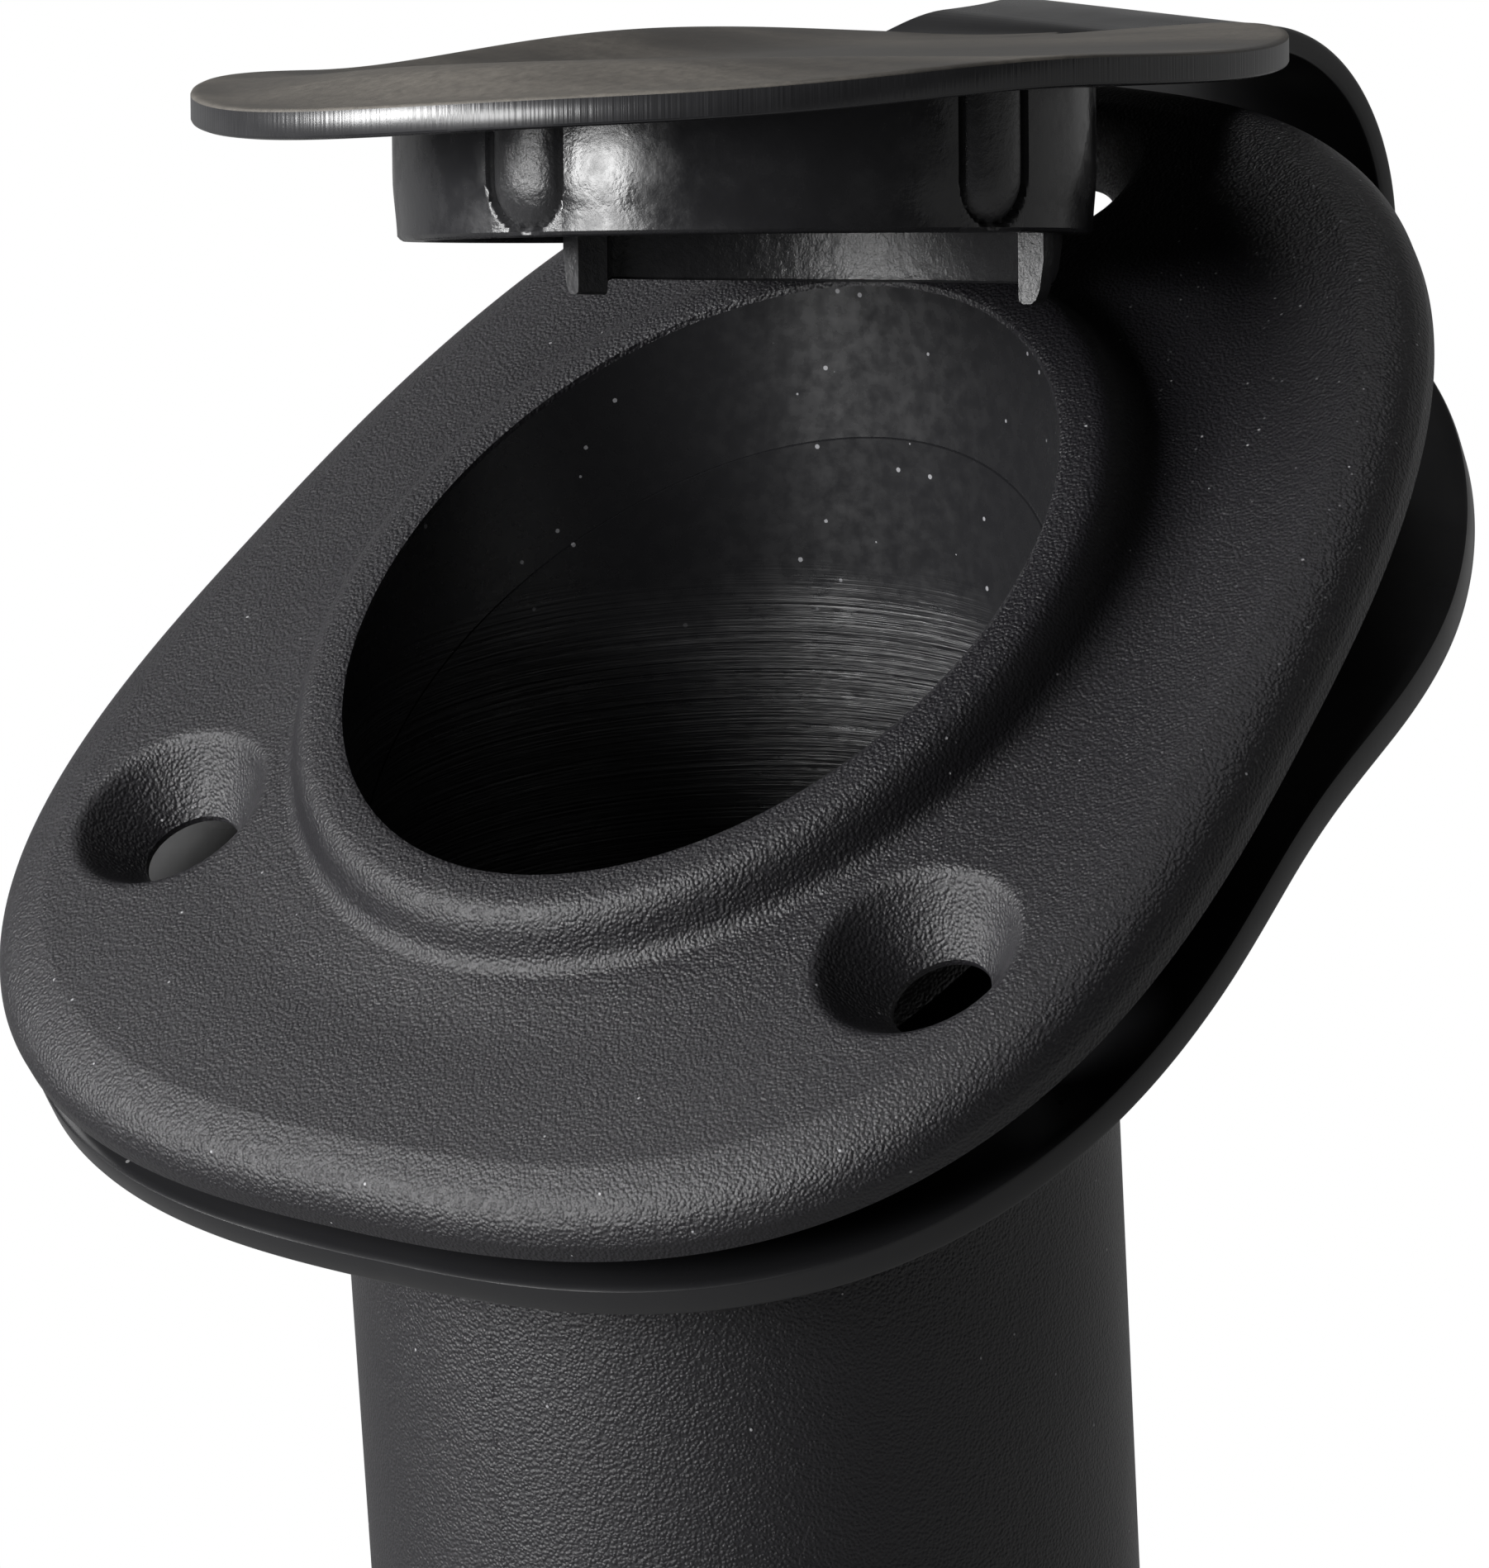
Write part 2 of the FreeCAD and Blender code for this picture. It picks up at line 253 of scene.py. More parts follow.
def shut_matrices():
    """Each body's matrix when the cap is fully shut, from the frame's joints and couplings."""
    couplings = frame["record"]["behaviour"]["couplings"]
    full = [joint["range_deg"][1] for joint in frame["joints"] if joint["name"] == "cap_close"][0]
    turns = {"cap_close": full}
    for coupling in couplings:
        if coupling["follows"] == "cap_close":
            turns[coupling["joint"]] = full * coupling["ratio"]
    matrices = {"holder": Matrix.Identity(4)}
    for joint in frame["joints"]:
        turn = math.radians(turns.get(joint["name"], 0.0))
        matrices[joint["child"]] = matrices[joint["parent"]] @ hinge_matrix(joint, turn)
    return matrices, turns


def hinge_matrix(joint, turn):
    pivot = Matrix.Translation(Vector(joint["pos_m"]))
    return pivot @ Matrix.Rotation(turn, 4, Vector(joint["axis"])) @ pivot.inverted()


SHUT, SHUT_TURNS = shut_matrices()


def at_rest(point, body):
    """Where a shut-position point, in millimetres, of a body lies at rest, in metres."""
    return SHUT[body].inverted() @ (Vector(point) * MM)


def turn_to_rest(piece, first, second, start, end):
    """Moves a piece drawn shut to rest. Points before start follow the first body and points after
    end follow the second one; both are places along the piece, in millimetres, drawn shut."""
    joint = [j for j in frame["joints"] if j["child"] == second and j["parent"] == first][0]
    full = math.radians(SHUT_TURNS.get(joint["name"], 0.0))
    start, end = Vector(start) * MM, Vector(end) * MM
    along = end - start
    for vertex in piece.data.vertices:
        share = float(smooth_step((vertex.co - start).dot(along) / along.length_squared))
        matrix = SHUT[first] @ hinge_matrix(joint, full * share)
        vertex.co = matrix.inverted() @ vertex.co
    piece.data.update()


def carry_to_rest(piece, body):
    piece.data.transform(SHUT[body].inverted())


# ---------- procedural materials ----------

def add(tree, kind, inputs=None, **settings):
    """Adds a shader node, sets its settings, and links or fills its inputs."""
    node = tree.nodes.new(kind)
    for key, value in settings.items():
        setattr(node, key, value)
    for key, value in (inputs or {}).items():
        if isinstance(value, bpy.types.NodeSocket):
            tree.links.new(value, node.inputs[key])
        else:
            node.inputs[key].default_value = value
    return node


def remap(tree, value, low, high, out_low, out_high):
    node = add(tree, "ShaderNodeMapRange", {"Value": value, "From Min": low, "From Max": high,
                                            "To Min": out_low, "To Max": out_high})
    return node.outputs["Result"]


def calculate(tree, operation, first, second):
    node = add(tree, "ShaderNodeMath", {0: first, 1: second}, operation=operation)
    return node.outputs[0]


def noise(tree, place, scale, detail=3.0, rough=0.55):
    inputs = {"Vector": place, "Scale": scale, "Detail": detail, "Roughness": rough}
    return add(tree, "ShaderNodeTexNoise", inputs).outputs["Fac"]


def cells(tree, place, scale):
    """Distance to the nearest of many scattered points."""
    return add(tree, "ShaderNodeTexVoronoi", {"Vector": place, "Scale": scale}).outputs["Distance"]


def specks(tree, place, scale, size, share):
    """1 on small flecks, 0 elsewhere; share is the part of the cells that have a fleck."""
    cell = add(tree, "ShaderNodeTexVoronoi", {"Vector": place, "Scale": scale})
    near = calculate(tree, "LESS_THAN", cell.outputs["Distance"], size)
    split = add(tree, "ShaderNodeSeparateColor", {"Color": cell.outputs["Color"]})
    chosen = calculate(tree, "LESS_THAN", split.outputs[0], share)
    return calculate(tree, "MULTIPLY", near, chosen)


def mix_colour(tree, share, first, second):
    node = add(tree, "ShaderNodeMix", {"Factor": share}, data_type="RGBA")
    node.inputs[6].default_value = (*first, 1)
    node.inputs[7].default_value = (*second, 1)
    return node.outputs[2]


def start_material(name):
    material = bpy.data.materials.new(name)
    material.use_nodes = True
    tree = material.node_tree
    tree.nodes.clear()
    place = add(tree, "ShaderNodeTexCoord").outputs["Object"]
    return material, tree, place


def end_material(tree, colour, roughness, normal, gloss=0.5):
    inputs = {"Base Color": colour, "Roughness": roughness, "Specular IOR Level": gloss, "Normal": normal}
    surface = add(tree, "ShaderNodeBsdfPrincipled", inputs)
    add(tree, "ShaderNodeOutputMaterial", {"Surface": surface.outputs[0]})
    return surface


def bump(tree, height, distance, strength=1.0, under=None):
    inputs = {"Height": height, "Distance": distance, "Strength": strength}
    if under is not None:
        inputs["Normal"] = under
    return add(tree, "ShaderNodeBump", inputs).outputs["Normal"]


def grained_plastic():
    """Satin moulded nylon with a fine blasted grain and tiny pale flecks; the extra flecks at the rear
    right are painted glints.
    """
    material, tree, place = start_material("grained_plastic")
    pebbles = remap(tree, cells(tree, place, 4200.0), 0.0, 0.75, 1.0, 0.0)
    fine = noise(tree, place, 5200.0, 4.0, 0.75)
    grain = calculate(tree, "ADD", pebbles, fine)
    worn = noise(tree, place, 45.0, 4.0)
    axes = add(tree, "ShaderNodeSeparateXYZ", {"Vector": place})
    sideways = calculate(tree, "MULTIPLY", axes.outputs["Y"], 0.8)
    rearward = calculate(tree, "SUBTRACT", axes.outputs["X"], sideways)
    # few: pale flecks all over. many: more flecks towards the rear right, painted glints where the grain
    # catches the light.
    few = specks(tree, place, 760.0, 0.07, 0.14)
    painted_glint_density = remap(tree, rearward, 0.02, 0.07, 0.0, 1.0)
    many = calculate(tree, "MULTIPLY", specks(tree, place, 1500.0, 0.12, 0.22), painted_glint_density)
    flecks = calculate(tree, "ADD", few, many)
    colour = mix_colour(tree, flecks, (0.0110, 0.0105, 0.0125), (0.33, 0.33, 0.34))
    roughness = remap(tree, worn, 0.3, 0.7, 0.29, 0.39)
    end_material(tree, colour, roughness, bump(tree, grain, 0.00006, 1.0))
    return material


def bore_plastic():
    """The bore's smooth wall: glossy and speckled at the top, worn in fine rings further down."""
    material, tree, place = start_material("bore_plastic")
    turned = add(tree, "ShaderNodeMapping", {"Vector": place, "Rotation": (0.0, -TILT, 0.0)}).outputs[0]
    wobble = add(tree, "ShaderNodeMapping", {"Vector": turned, "Rotation": (0.05, 0.03, 0.0),
                                             "Scale": (45.0, 45.0, 2600.0)}).outputs[0]
    level_rings = add(tree, "ShaderNodeMapping", {"Vector": turned,
                                                  "Scale": (30.0, 30.0, 5200.0)}).outputs[0]
    slanted = noise(tree, wobble, 1.0, 5.0, 0.7)
    rings = calculate(tree, "ADD", slanted, noise(tree, level_rings, 1.0, 3.0, 0.6))
    along = add(tree, "ShaderNodeSeparateXYZ", {"Vector": turned}).outputs["Z"]
    ragged = calculate(tree, "ADD", along, calculate(tree, "MULTIPLY", noise(tree, place, 120.0), 0.004))
    worn = remap(tree, ragged, 0.004, -0.001, 0.0, 1.0)
    pits = noise(tree, place, 900.0, 3.0)
    height = calculate(tree, "MULTIPLY", rings, worn)
    flecks = specks(tree, place, 700.0, 0.11, 0.34)
    shown = calculate(tree, "MULTIPLY", flecks, calculate(tree, "SUBTRACT", 1.0, worn))
    colour = mix_colour(tree, shown, (0.010, 0.010, 0.011), (0.22, 0.22, 0.23))
    streak = calculate(tree, "MULTIPLY", remap(tree, rings, 0.8, 1.3, 0.02, 0.2), worn)
    roughness = calculate(tree, "ADD", remap(tree, pits, 0.3, 0.7, 0.22, 0.32), streak)
    under = bump(tree, pits, 0.00002, 0.5)
    facing = add(tree, "ShaderNodeNewGeometry").outputs["Normal"]
    axis = (math.sin(TILT), 0.0, math.cos(TILT))
    crossed = add(tree, "ShaderNodeVectorMath", {0: axis, 1: facing}, operation="CROSS_PRODUCT")
    surface = end_material(tree, colour, roughness, bump(tree, height, 0.00007, 1.0, under))
    tree.links.new(crossed.outputs[0], surface.inputs["Tangent"])
    tree.links.new(calculate(tree, "MULTIPLY", worn, 0.8), surface.inputs["Anisotropic"])
    return material


def sheet_vinyl():
    """Smooth flexible vinyl sheet with a soft, slightly uneven gloss."""
    material, tree, place = start_material("sheet_vinyl")
    soft = noise(tree, place, 90.0, 3.0)
    fine = noise(tree, place, 2200.0, 3.0)
    flecks = specks(tree, place, 300.0, 0.05, 0.06)
    colour = mix_colour(tree, flecks, (0.012, 0.012, 0.013), (0.16, 0.16, 0.16))
    roughness = remap(tree, soft, 0.3, 0.7, 0.24, 0.36)
    under = bump(tree, soft, 0.00018, 0.6)
    end_material(tree, colour, roughness, bump(tree, fine, 0.000008, 0.6, under))
    return material


def dusty_vinyl():
    """The cap's matt top, with soft grey-brown dust in streaks."""
    material, tree, place = start_material("dusty_vinyl")
    streaked = add(tree, "ShaderNodeMapping", {"Vector": place, "Rotation": (0.0, 0.0, 0.9),
                                               "Scale": (1.0, 0.25, 1.0)}).outputs[0]
    cloud = noise(tree, streaked, 70.0, 5.0, 0.6)
    fine = noise(tree, place, 1500.0, 4.0, 0.7)
    patches = remap(tree, cloud, 0.35, 0.7, 0.15, 1.0)
    dust = calculate(tree, "MULTIPLY", patches, remap(tree, fine, 0.3, 0.7, 0.6, 1.1))
    colour = mix_colour(tree, dust, (0.026, 0.024, 0.022), (0.16, 0.145, 0.125))
    roughness = remap(tree, dust, 0.0, 1.0, 0.42, 0.75)
    under = bump(tree, cloud, 0.0004, 0.5)
    end_material(tree, colour, roughness, bump(tree, fine, 0.00003, 0.6, under))
    return material


def cut_edge_vinyl():
    """The cap plate's side, with the fine upright lines a cutting die leaves."""
    material, tree, place = start_material("cut_edge_vinyl")
    turn = add(tree, "ShaderNodeAttribute", attribute_name="turn").outputs["Fac"]
    inputs = {"W": turn, "Scale": 130.0, "Detail": 3.0}
    line = add(tree, "ShaderNodeTexNoise", inputs, noise_dimensions="1D")
    colour = mix_colour(tree, noise(tree, place, 400.0), (0.012, 0.012, 0.013), (0.028, 0.028, 0.030))
    end_material(tree, colour, 0.30, bump(tree, line.outputs[0], 0.00005, 0.5), 0.6)
    return material


def glossy_vinyl():
    """Moulded glossy vinyl with finger smudges."""
    material, tree, place = start_material("glossy_vinyl")
    smudge = noise(tree, place, 210.0, 6.0, 0.7)
    fine = noise(tree, place, 1400.0, 3.0)
    pits = specks(tree, place, 900.0, 0.12, 0.07)
    colour = mix_colour(tree, smudge, (0.012, 0.012, 0.013), (0.024, 0.024, 0.026))
    roughness = remap(tree, smudge, 0.40, 0.62, 0.14, 0.34)
    height = calculate(tree, "SUBTRACT", fine, pits)
    under = bump(tree, smudge, 0.00010, 0.5)
    end_material(tree, colour, roughness, bump(tree, height, 0.00002, 0.6, under))
    return material


def rough_vinyl():
    """Coarser, spark-eroded moulded texture on the lugs and the hook."""
    material, tree, place = start_material("rough_vinyl")
    coarse = noise(tree, place, 900.0, 5.0, 0.7)
    colour = mix_colour(tree, coarse, (0.012, 0.012, 0.013), (0.030, 0.030, 0.032))
    end_material(tree, colour, 0.34, bump(tree, coarse, 0.00016, 0.8), 0.6)
    return material


GRAINED = grained_plastic()
BORE = bore_plastic()
SHEET = sheet_vinyl()
DUSTY = dusty_vinyl()
CUT_EDGE = cut_edge_vinyl()
GLOSSY = glossy_vinyl()
ROUGH = rough_vinyl()


# ---------- flange ----------

def outline(angles, grow):
    """The flange's outline, a rounded and rear-tapered oval, moved outwards by grow."""
    length = HALF_LENGTH + grow
    width = HALF_WIDTH + grow
    across = np.abs(np.cos(angles) / length) ** SQUARENESS
    along = np.abs(np.sin(angles) / width) ** SQUARENESS
    reach = (across + along) ** (-1 / SQUARENESS)
    x = reach * np.cos(angles)
    y = reach * np.sin(angles) * (1 - REAR_TAPER * x / length)
    return np.stack([MIDDLE_X + x, y], 1)


def tilted_section(angles, radius, z):
    """Where a round bar on the tube's axis meets height z."""
    x = (z - RIM_HEIGHT) * math.tan(TILT) + radius / math.cos(TILT) * np.cos(angles)
    return np.stack([x, radius * np.sin(angles), np.full(len(angles), z)], 1)


def level(points, z):
    heights = np.broadcast_to(np.asarray(z, float), (len(points),))
    return np.column_stack([points, heights])


def sink_screw_seats(ring):
    """Lowers a ring of the flange's top into the upper part of the screws' conical seats, with a soft
    edge. screw_seat() cuts the rest of the cone."""
    sunk = ring.copy()
    for x, y in SCREW_PLACES:
        away = np.hypot(ring[:, 0] - x, ring[:, 1] - y)
        seat = np.maximum(SEAT_FLOOR + (away - SCREW_HOLE_R) * SEAT_SLOPE, CAVITY_DEPTH + 0.4)
        sunk[:, 2] = smooth_min(sunk[:, 2], seat, 0.5)
    return sunk


def screw_seat(x, y):
    """A cone that carries a screw's seat down through its boss."""
    turns = np.linspace(0, 2 * math.pi, 96, endpoint=False)
    rings = []
    for z in (SEAT_FLOOR, CAVITY_DEPTH + 0.9):
        radius = SCREW_HOLE_R + (z - SEAT_FLOOR) / SEAT_SLOPE
        rings.append([(x + radius * math.cos(turn), y + radius * math.sin(turn), z) for turn in turns])
    return loft("screw_seat", rings, [GRAINED], hoop=False)


def flange_rings():
    """Rings from the collar through the hollow underside, over the edge and the bead, and down the bore."""
    angles = np.linspace(0, 2 * math.pi, 720, endpoint=False)
    rings = []
    rings.append(tilted_section(angles, COLLAR_R, 0.0))
    rings.append(tilted_section(angles, COLLAR_R, CAVITY_DEPTH))
    rings.append(level(outline(angles, -WALL), CAVITY_DEPTH))
    rings.append(level(outline(angles, -WALL), 0.0))
    edge = ((0.0, 0.0), (0.0, 0.7), (-0.05, 1.4), (-0.6, 2.6), (-1.7, 3.5), (-3.6, 4.15))
    for grow, z in smooth_through(edge, 5):
        rings.append(level(outline(angles, grow), z))
    outer = outline(angles, edge[-1][0])
    inner = np.stack([BEAD_FOOT[0] * np.cos(angles), BEAD_FOOT[1] * np.sin(angles)], 1)
    heights = smooth_through(((0.0, 4.15), (0.35, 4.35), (0.7, 4.5), (1.0, 4.95)), 20)
    for share, z in heights[1:]:
        rings.append(sink_screw_seats(level(outer + (inner - outer) * share, z)))
    bead = ((5.25, 4.95), (4.8, 5.15), (4.35, 5.6), (4.0, 6.35), (3.6, 7.25), (3.05, 7.95), (2.4, 8.3),
            (1.5, 8.4), (0.3, 8.4))
    for width, z in smooth_through(bead, 4)[1:]:
        long_radius = RIM_BORE_R / math.cos(TILT) + width
        ring = np.stack([long_radius * np.cos(angles), (RIM_BORE_R + width) * np.sin(angles)], 1)
        rings.append(level(ring, z))
    rim_count = len(rings)
    for z in (8.32, 8.0, 6.0, 4.0, 2.0, 0.0):
        radius = LOWER_BORE_R + (RIM_BORE_R - LOWER_BORE_R) * z / RIM_HEIGHT
        rings.append(tilted_section(angles, radius, z))
    slots = [0] * (rim_count + 1) + [1] * (len(rings) - rim_count - 2) + [0]
    return rings, slots


def build_flange():
    rings, slots = flange_rings()
    piece = loft("flange_moulding", rings, [GRAINED, BORE], slots=slots)
    bosses = [upright_bar(x, y, SCREW_BOSS_R, 0.0, CAVITY_DEPTH + 0.2, GRAINED) for x, y in SCREW_PLACES]
    combine(piece, bosses, "UNION")
    holes = [upright_bar(x, y, SCREW_HOLE_R, -5.0, 12.0, GRAINED) for x, y in SCREW_PLACES]
    seats = [screw_seat(x, y) for x, y in SCREW_PLACES]
    combine(piece, holes + seats, "DIFFERENCE")
    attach(piece, "holder")
    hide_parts("flange")


# ---------- tube ----------

def tube_ring(angles, radius, along):
    """A ring of the tube; along is the distance up its axis and may differ from point to point."""
    start = -RIM_HEIGHT * math.tan(TILT)
    x = start + along * math.sin(TILT) + radius * np.cos(angles) * math.cos(TILT)
    y = radius * np.sin(angles)
    z = along * math.cos(TILT) - radius * np.cos(angles) * math.sin(TILT)
    return np.stack([x, y, z], 1)


def build_tube():
    even = np.linspace(-math.pi, math.pi, 240, endpoint=False)
    seam = math.pi + np.linspace(-0.012, 0.012, 9)
    angles = np.sort(np.concatenate([even[1:], seam - 2 * math.pi]))
    from_seam = np.minimum(np.abs(angles - math.pi), np.abs(angles + math.pi)) * TUBE_OUTER_R
    ridge = 0.05 * np.exp(-(from_seam / 0.1) ** 2)
    top_z = -0.03
    rings = []
    outer_top = (top_z + TUBE_OUTER_R * np.cos(angles) * math.sin(TILT)) / math.cos(TILT)
    for share in np.linspace(0, 1, 14):
        along = outer_top + (-TUBE_STRAIGHT - outer_top) * share
        rings.append(tube_ring(angles, TUBE_OUTER_R + ridge, along))
    foot = 2.6
    for along in np.linspace(-TUBE_STRAIGHT - 15, -TUBE_LENGTH + foot, 10):
        slim = TUBE_TAPER * (-along - TUBE_STRAIGHT) / (TUBE_LENGTH - TUBE_STRAIGHT)
        rings.append(tube_ring(angles, TUBE_OUTER_R - slim + ridge, along))
    foot_r = TUBE_OUTER_R - TUBE_TAPER
    for turn in np.radians((15, 30, 45, 60, 75, 90)):
        radius = foot_r - foot * (1 - math.cos(turn))
        rings.append(tube_ring(angles, radius, -TUBE_LENGTH + foot * (1 - math.sin(turn))))
    outside = len(rings)
    rings.append(tube_ring(angles, DRAIN_R + 0.4, -TUBE_LENGTH))
    rings.append(tube_ring(angles, DRAIN_R, -TUBE_LENGTH + 0.4))
    rings.append(tube_ring(angles, DRAIN_R, -TUBE_LENGTH + TUBE_FLOOR))
    inner_r = TUBE_BORE_R - TUBE_TAPER
    rings.append(tube_ring(angles, inner_r - 1.5, -TUBE_LENGTH + TUBE_FLOOR))
    rings.append(tube_ring(angles, inner_r - 0.4, -TUBE_LENGTH + TUBE_FLOOR + 0.5))
    rings.append(tube_ring(angles, inner_r, -TUBE_LENGTH + TUBE_FLOOR + 1.6))
    rings.append(tube_ring(angles, TUBE_BORE_R, -TUBE_STRAIGHT))
    inner_top = (top_z + TUBE_BORE_R * np.cos(angles) * math.sin(TILT)) / math.cos(TILT)
    for below in (26.0, 20.0, 14.0, 9.0, 5.0, 2.5, 0.9):
        radius = TUBE_BORE_R + (MOUTH_R - TUBE_BORE_R) * (1 - below / 26.0)
        rings.append(tube_ring(angles, radius, inner_top - below))
    mouth_top = (top_z + MOUTH_R * np.cos(angles) * math.sin(TILT)) / math.cos(TILT)
    rings.append(tube_ring(angles, MOUTH_R, mouth_top))
    slots = [0] * (outside + 2) + [1] * (len(rings) - outside - 2)
    piece = loft("tube_moulding", rings, [GRAINED, BORE], slots=slots)
    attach(piece, "holder")
    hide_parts("tube")


# ---------- gasket ----------

def gasket_rings():
    """Rings over the gasket's top and back under it. Its rear corners and right side are drawn in."""
    angles = np.linspace(0, 2 * math.pi, 480, endpoint=False)
    turns = np.degrees(np.where(angles > math.pi, angles - 2 * math.pi, angles))
    corners = np.exp(-((turns - 40.0) / 28.0) ** 2) + np.exp(-((turns + 40.0) / 28.0) ** 2)
    right_side = np.exp(-((turns + 95.0) / 40.0) ** 2)
    shrunk = GASKET_CORNER_LOSS * corners + GASKET_SIDE_LOSS * right_side
    full = outline(angles, GASKET_OVERHANG)
    outer = full + (outline(angles, GASKET_OVERHANG - 1.0) - full) * shrunk[:, None]
    hole_x, half_length, half_width = GASKET_HOLE
    hole = np.stack([hole_x + half_length * np.cos(angles), half_width * np.sin(angles)], 1)
    top, bottom = GASKET_TOP, GASKET_TOP - GASKET_THICK
    span = np.linalg.norm(outer - hole, axis=1)[:, None]
    edge_share = 0.3 / span
    shares = [edge_share * 0.0, edge_share * 0.3, edge_share]
    shares += [edge_share + (1 - 2 * edge_share) * share for share in np.linspace(0, 1, 26)[1:-1]]
    shares += [1 - edge_share, 1 - edge_share * 0.3, 1 - edge_share * 0.0]
    dips = [0.3, 0.09, 0.0] + [0.0] * 24 + [0.0, 0.09, 0.3]
    rings = []
    for share, dip in zip(shares, dips):
        rings.append(level(outer + (hole - outer) * share, top - dip))
    for share, dip in zip(reversed(shares), reversed(dips)):
        rings.append(level(outer + (hole - outer) * share, bottom + dip))
    return rings


def build_gasket():
    piece = loft("gasket_sheet", gasket_rings(), [SHEET])
    holes = [upright_bar(x, y, SCREW_HOLE_R, -6.0, 4.0, SHEET) for x, y in SCREW_PLACES]
    notch = box_mesh(NOTCH_X, 60.0, -STRAP_WIDTH / 2 - 0.12, STRAP_WIDTH / 2 + 0.12, -6.0, 4.0)
    combine(piece, holes + [notch], "DIFFERENCE")
    relax_gasket(piece)
    start = (GASKET_BEND_X - GASKET_BEND_REACH, 0, 0)
    end = (GASKET_BEND_X + GASKET_BEND_REACH, 0, 0)
    turn_to_rest(piece, "gasket_front", "gasket_rear", start, end)
    start, end = at_rest(start, "gasket_front"), at_rest(end, "gasket_rear")
    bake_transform(piece)
    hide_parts("gasket_front", "gasket_rear")


def relax_gasket(piece):
    """Curls the loose sheet's rear corners down, and slides its front part a little on the tube."""
    for vertex in piece.data.vertices:
        x, y, z = vertex.co / MM
        rearward = min(max((x + 5.0) / 50.0, 0.0), 1.2)
        z -= GASKET_CURL * rearward ** 2 * (abs(y) / 30.0) ** 1.5
        slid = 1.0 - float(smooth_step((x - 8.0) / 38.0))
        vertex.co = Vector((x + GASKET_SLIDE[0] * slid, y + GASKET_SLIDE[1] * slid, z)) * MM


def box_mesh(x_low, x_high, y_low, y_high, z_low, z_high):
    rings = []
    for z in (z_low, z_high):
        rings.append([(x_low, y_low, z), (x_high, y_low, z), (x_high, y_high, z), (x_low, y_high, z)])
    return loft("box", rings, [SHEET], hoop=False)


# ---------- strap ----------

def strap_line():
    """The strap's middle line and its directions, as x and z drawn shut, from the gasket to the plate."""
    points = [(NOTCH_X, -1.05), (48.4, -1.05)]
    for angle in np.linspace(-90, ARCH_START, 27):
        turn = math.radians(angle)
        points.append((ROOT_CENTRE[0] + ROOT_R * math.cos(turn), ROOT_CENTRE[1] + ROOT_R * math.sin(turn)))
    plate = CAP_SEAT_Z + CAP_THICK / 2
    excess = ARCH_CENTRE[1] + ARCH_R - plate - REAR_RISE - STRAP_LIFT
    for angle in np.linspace(ARCH_START, 90, 81)[1:]:
        turn = math.radians(angle)
        lowered = excess * smooth_step((angle - ARCH_START) / (90 - ARCH_START))
        height = (ARCH_R - lowered) * math.sin(turn)
        points.append((ARCH_CENTRE[0] + ARCH_R * math.cos(turn), ARCH_CENTRE[1] + height))
    for x in np.linspace(ARCH_CENTRE[0], 25.5, 33)[1:]:
        lift = STRAP_LIFT * smooth_step((x - 27.0) / (ARCH_CENTRE[0] - 27.0))
        points.append((x, plate + rear_rise(x) + lift))
    line = np.array(points)
    direction = np.gradient(line, axis=0)
    direction /= np.linalg.norm(direction, axis=1)[:, None]
    return line, direction


def rear_rise(x):
    """How far the strap pulls the rear of the soft cap plate up out of flat."""
    return REAR_RISE * smooth_step((x + 8.0) / (ARCH_CENTRE[0] + 8.0))


def strip_section(centre, direction, width, thick):
    """A flat section with rounded corners, square to the strap's direction."""
    corner = 0.35
    outline_points = []
    for corner_y, corner_n, first in ((1, 1, 0), (-1, 1, 90), (-1, -1, 180), (1, -1, 270)):
        for turn in np.radians(np.array((0, 30, 60, 90)) + first):
            across = corner_y * (width / 2 - corner) + corner * math.cos(turn)
            out = corner_n * (thick / 2 - corner) + corner * math.sin(turn)
            outline_points.append((across, out))
    normal = np.array([-direction[1], direction[0]])
    section = []
    for across, out in outline_points:
        x, z = centre + normal * out
        section.append((x, across, z))
    return section


def build_strap():
    """Seven bands along the strap, each bending over one joint. cuts, joints_at and reach count points
    of the strap's line: where bands meet, where joints are, and how far a bend spreads to each side."""
    line, direction = strap_line()
    root = 2
    arch = root + 26
    per_link = 20
    tab = arch + 4 * per_link
    links = ["strap_link_" + str(i + 1) for i in range(4)]
    bodies = ["gasket_rear", "strap_root"] + links + ["strap_tab", "cap"]
    middles = [arch + per_link // 2 + per_link * i for i in range(4)]
    cuts = [0, root + 15] + middles + [tab + 15, len(line) - 1]
    joints_at = [root + 6] + [arch + per_link * i for i in range(5)] + [tab + 25]
    reach = [(4, 5), (6, 8), (9, 9), (9, 9), (9, 9), (9, 9), (8, 4)]
    for i in range(7):
        rings = []
        for k in range(cuts[i], cuts[i + 1] + 1):
            flare = smooth_step((k - tab - 8) / 24.0) * 9.0
            thick = STRAP_THICK + 0.4 * (1 - smooth_step(k / 14.0))
            rings.append(strip_section(line[k], direction[k], STRAP_WIDTH + flare, thick))
        piece = loft("strap_band_" + str(i + 1), rings, [SHEET], hoop=False)
        start = line[joints_at[i] - reach[i][0]]
        end = line[joints_at[i] + reach[i][1]]
        start, end = (start[0], 0.0, start[1]), (end[0], 0.0, end[1])
        turn_to_rest(piece, bodies[i], bodies[i + 1], start, end)
        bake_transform(piece)
        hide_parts(*[b for b in bodies[i:i + 2] if b.startswith("strap")])


# ---------- cap ----------

def cap_outline(angles, share):
    across = np.abs(np.cos(angles) / CAP_HALF_LENGTH) ** CAP_SQUARENESS
    along = np.abs(np.sin(angles) / CAP_HALF_WIDTH) ** CAP_SQUARENESS
    reach = (across + along) ** (-1 / CAP_SQUARENESS) * share
    return np.stack([CAP_X + reach * np.cos(angles), reach * np.sin(angles)], 1)


